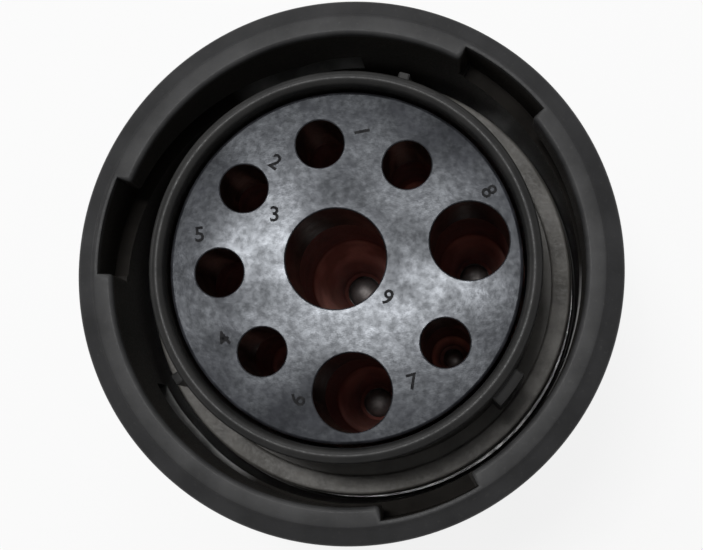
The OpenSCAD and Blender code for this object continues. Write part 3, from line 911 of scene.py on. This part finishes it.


# The ring gets painted shade inside its bore, and wear with a painted highlight at its groove ends and lip.
ring_metal = anodised("ring_anodised", (0.017, 0.017, 0.0177), (0.028, 0.028, 0.029), 0.42, 0.14,
                      painted_bore_shade=ring_bore_painted_shade, wear_and_highlight=ring_wear_and_highlight)
shell_metal = anodised("shell_anodised", (0.008, 0.008, 0.0078), (0.018, 0.0175, 0.017), 0.36, 0.16,
                       shelf_dust=flange_dust)
nut_metal = anodised("nut_anodised", (0.018, 0.018, 0.0187), (0.029, 0.029, 0.030), 0.42, 0.16)
wear(ring, ring_metal)
wear(shell, shell_metal)
wear(nut, nut_metal)

# %% [markdown]
# ### Moulded insert
# The insert is a filled thermoset. Its skin is mottled at three sizes: broad areas, patches of a millimetre or
# two and fine cells. Some came off the mould glossy and others dull, which changes how much light they mirror
# more than it changes their colour. Inside the cavities the walls have a colour of their own, which is lighter
# lower down.

# %% Moulded insert
insert_finish = Finish("insert_thermoset")
patches = insert_finish.noise(520, 4, 0.6)
cells = insert_finish.noise(1800, 3, 0.6)
broad = insert_finish.noise(110, 2, 0.45)
mottled = insert_finish.ramp(patches, (0.36, 0.012, 0.0128, 0.015), (0.5, 0.020, 0.021, 0.0245),
                             (0.64, 0.034, 0.0355, 0.041))
shade = insert_finish.ramp(broad, (0.38, 1, 1, 1), (0.6, 0.8, 0.8, 0.81))
face = insert_finish.mix(1.0, mottled, shade, "MULTIPLY")
deep_wall, upper_wall = (0.05, 0.043, 0.034, 1), (0.016, 0.011, 0.009, 1)
wall = insert_finish.mix(insert_finish.height(FACE_Z - 5, FACE_Z - 3), deep_wall, upper_wall)
insert_finish.colour(insert_finish.mix(insert_finish.up(0.2, 0.8), wall, face))
insert_finish.roughness(insert_finish.spread(patches, 0.35, 0.65, 0.21, 0.15))
glossy = insert_finish.maths("MULTIPLY", insert_finish.spread(cells, 0.36, 0.66, 0.11, 0.22),
                             insert_finish.spread(broad, 0.4, 0.6, 0.42, 1.2))
insert_finish.link(glossy, insert_finish.shader.inputs["Specular IOR Level"])
insert_finish.set(Specular_Tint=(0.89, 0.935, 1, 1))
insert_finish.bump((patches, 0.02, 0.3), (cells, 0.006, 0.5))
wear(insert, insert_finish)

figure_ink = Finish("figure_ink")
figure_ink.colour(figure_ink.ramp(
    figure_ink.noise(2500, 2), (0.35, 0.006, 0.006, 0.007), (0.7, 0.02, 0.02, 0.021)))
figure_ink.roughness(figure_ink.spread(figure_ink.noise(1800, 2), 0.3, 0.7, 0.6, 0.8))
figure_ink.set(Specular_IOR_Level=0.1)
wear(marks, figure_ink)

# %% [markdown]
# ### Silicone and rubber
# Silicone is matt with a little light passing under its skin, and it holds dust. On the funnels' up-facing
# slopes a pale pink is partly that dust and partly painted light. Brick red goes browner where it is dirty. The
# flange gasket is beige-grey fluorosilicone, scuffed by many matings, and the O-ring is black.

# %% Silicone and rubber
seal_finish = Finish("seal_silicone_red")
stain = seal_finish.noise(420, 4, 0.6)
powder = seal_finish.noise(4200, 2, 0.6)
# Up-facing funnel slopes turn pale pink: dust, and painted light where the lamps reach into the cavities.
dust_and_light_mask = seal_finish.maths("MULTIPLY", seal_finish.up(0.08, 0.32), seal_finish.height(SEAL_Z + 2, FUNNEL_Z - 2))
rubber = seal_finish.ramp(stain, (0.3, 0.1, 0.03, 0.022), (0.55, 0.17, 0.05, 0.038), (0.8, 0.23, 0.085, 0.07))
dust_and_painted_light = seal_finish.maths("MULTIPLY", dust_and_light_mask, seal_finish.spread(seal_finish.noise(230, 2), 0.4, 0.6, 0.3, 1))
seal_finish.colour(seal_finish.mix(dust_and_painted_light, rubber, seal_finish.ramp(
    powder, (0.3, 0.62, 0.31, 0.26), (0.7, 0.8, 0.45, 0.38))))
seal_finish.roughness(seal_finish.spread(powder, 0.3, 0.7, 0.42, 0.62))
seal_finish.set(Subsurface_Weight=0.08, Subsurface_Scale=0.0006, Specular_IOR_Level=0.4)
seal_finish.bump((stain, 0.03, 0.2), (powder, 0.01, 0.3))
wear(seal, seal_finish)
wear(grommet, seal_finish)

gasket_finish = Finish("gasket_fluorosilicone")
scuffs = gasket_finish.noise(520, 5, 0.65)
dirt = gasket_finish.noise(180, 2, 0.5)
gasket_grit = gasket_finish.noise(3800, 2, 0.6)
gasket_body = gasket_finish.ramp(scuffs, (0.32, 0.11, 0.105, 0.098), (0.7, 0.2, 0.192, 0.178))
gasket_finish.colour(gasket_finish.mix(1.0, gasket_body, gasket_finish.ramp(
    dirt, (0.35, 0.6, 0.59, 0.57), (0.6, 1, 1, 1)), "MULTIPLY"))
gasket_finish.roughness(gasket_finish.spread(gasket_grit, 0.3, 0.7, 0.5, 0.75))
gasket_finish.bump((scuffs, 0.04, 0.3), (gasket_grit, 0.015, 0.35))
wear(gasket, gasket_finish)

o_ring_finish = Finish("o_ring_nitrile")
bloom = o_ring_finish.noise(900, 3, 0.6)
o_ring_finish.colour(o_ring_finish.ramp(bloom, (0.35, 0.014, 0.014, 0.014), (0.75, 0.035, 0.035, 0.034)))
o_ring_finish.roughness(o_ring_finish.spread(bloom, 0.3, 0.7, 0.38, 0.6))
o_ring_finish.bump((o_ring_finish.noise(3500, 2), 0.01, 0.3))
wear(o_ring, o_ring_finish)

# %% [markdown]
# ### Bright metal parts
# The pins are nickel plated and dulled by handling. The snap ring, washer, follower and spring are steel with
# fine grinding lines, and the retention clips are spring bronze. One helper makes them all, because they only
# differ in colour and in how rough they are.

# %% Bright metal


def bright_metal(name, dark, light, shine):
    """A bare or plated metal with tarnish clouds and fine grinding lines."""
    finish = Finish(name)
    tarnish = finish.noise(650, 4, 0.6)
    lines = finish.noise(2600, 2, 0.5, finish.stretched((0.3, 0.3, 4)))
    finish.colour(finish.ramp(tarnish, (0.3, *dark), (0.7, *light)))
    finish.roughness(finish.spread(tarnish, 0.3, 0.7, shine + 0.12, shine - 0.05))
    finish.set(Metallic=1.0)
    finish.bump((lines, 0.006, 0.3))
    return finish


plating = bright_metal("pin_plating", (0.2, 0.185, 0.18), (0.42, 0.4, 0.39), 0.58)
steel = bright_metal("ground_steel", (0.28, 0.28, 0.285), (0.48, 0.48, 0.485), 0.34)
bronze = bright_metal("spring_bronze", (0.3, 0.19, 0.09), (0.55, 0.37, 0.19), 0.32)
for pin in pins:
    wear(pin, plating)
wear(snap_ring, steel)
wear(follower, steel)
wear(spring, steel)
for name, finish in (("thrust_washer", steel), ("retention_clips", bronze)):
    wear(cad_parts[name], finish)

plate_finish = Finish("plate_nylon")
fibres = plate_finish.noise(1500, 3, 0.6, plate_finish.stretched((1, 0.25, 1)))
plate_finish.colour(plate_finish.ramp(fibres, (0.3, 0.16, 0.15, 0.13), (0.7, 0.25, 0.24, 0.21)))
plate_finish.roughness(plate_finish.spread(fibres, 0.3, 0.7, 0.45, 0.6))
plate_finish.bump((fibres, 0.015, 0.3))
wear(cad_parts["retention_plate"], plate_finish)

# %% [markdown]
# ## The stage
# A plain pale floor under the rear nut. The camera and mirror-like surfaces see it nearly white, through the
# Light Path node, while it still takes the plug's soft shadow, because part of it stays a plain diffuse
# surface.

# %% Floor
nothing_selected()
bpy.ops.mesh.primitive_circle_add(vertices=96, radius=1.5, fill_type="NGON")
floor = bpy.context.object
floor.name = "floor"
floor_finish = Finish("floor_pale")
floor_finish.set(Roughness=0.9, Specular_IOR_Level=0.1)
floor_finish.colour(floor_finish.ramp(
    floor_finish.noise(30, 2), (0.3, 0.84, 0.84, 0.84), (0.7, 0.86, 0.86, 0.86)))


def seen_directly(finish_tree):
    """1 for rays from the camera, and for those that a mirror or glass passes on."""
    path = finish_tree.nodes.new("ShaderNodeLightPath")
    total = path.outputs["Is Camera Ray"]
    for name in ("Is Glossy Ray", "Is Transmission Ray"):
        add = finish_tree.nodes.new("ShaderNodeMath")
        add.operation = "MAXIMUM"
        finish_tree.links.new(total, add.inputs[0])
        finish_tree.links.new(path.outputs[name], add.inputs[1])
        total = add.outputs[0]
    return total


tree = floor_finish.tree
glow = floor_finish.node("ShaderNodeEmission")
blend = floor_finish.node("ShaderNodeMixShader")
share = floor_finish.node("ShaderNodeMath", operation="MULTIPLY")
share.inputs[1].default_value = 0.85
tree.links.new(seen_directly(tree), share.inputs[0])
tree.links.new(share.outputs[0], blend.inputs["Fac"])
tree.links.new(floor_finish.shader.outputs[0], blend.inputs[1])
tree.links.new(glow.outputs[0], blend.inputs[2])
tree.links.new(blend.outputs[0], tree.nodes["Material Output"].inputs["Surface"])
wear(floor, floor_finish)

# %% [markdown]
# ## Light
# The world gives an even base light, and reads as white where it is seen directly or in a reflection. Two small
# panels high above the plug make the sheen on the insert: their mirror images fall on its face. A large panel
# behind fills the shadows, and a weak one at the side draws the rims. Each panel's brightness is given as the
# share of white that a sheet facing it would show, so that colours render about as written.

# %% World
world = bpy.data.worlds.new("studio")
bpy.context.scene.world = world
world.use_nodes = True
background = world.node_tree.nodes["Background"]
background.inputs["Color"].default_value = (1, 1, 1, 1)
strength = world.node_tree.nodes.new("ShaderNodeMapRange")
strength.inputs["To Min"].default_value = 0.2
strength.inputs["To Max"].default_value = 1.0
world.node_tree.links.new(seen_directly(world.node_tree), strength.inputs["Value"])
world.node_tree.links.new(strength.outputs["Result"], background.inputs["Strength"])

# %% Soft panels


def soft_panel(name, place, width, length, white, spin=0.0):
    """An area lamp aimed at the plug's front. White is how brightly it lights a white sheet that faces it."""
    place = Vector(place) * MM
    aim = place - Vector((0, 0, 45)) * MM
    bpy.ops.object.light_add(type="AREA", location=place)
    panel = bpy.context.object
    panel.name = name
    panel.data.shape = "RECTANGLE"
    panel.data.size = width * MM
    panel.data.size_y = length * MM
    panel.data.energy = white * math.pi ** 2 * aim.length_squared
    facing = aim.to_track_quat("Z", "Y").to_matrix()
    panel.rotation_euler = (facing @ Matrix.Rotation(math.radians(spin), 3, "Z")).to_euler()
    print(f"{name}: {panel.data.energy:.2f} W")
    return panel


soft_panel("key_panel", (-106, 86, 646), 80, 50, 0.22, spin=-25)
soft_panel("second_panel", (-37, 72, 646), 80, 50, 0.26, spin=-25)
soft_panel("back_panel", (-60, 335, 417), 460, 220, 0.4)
soft_panel("side_panel", (-480, 110, 170), 90, 60, 0.06)

# %% [markdown]
# ## Finish
# The colours are kept as they are written: the Standard view transform, no exposure.

# %% Finish
bpy.context.scene.view_settings.view_transform = "Standard"
nothing_selected()
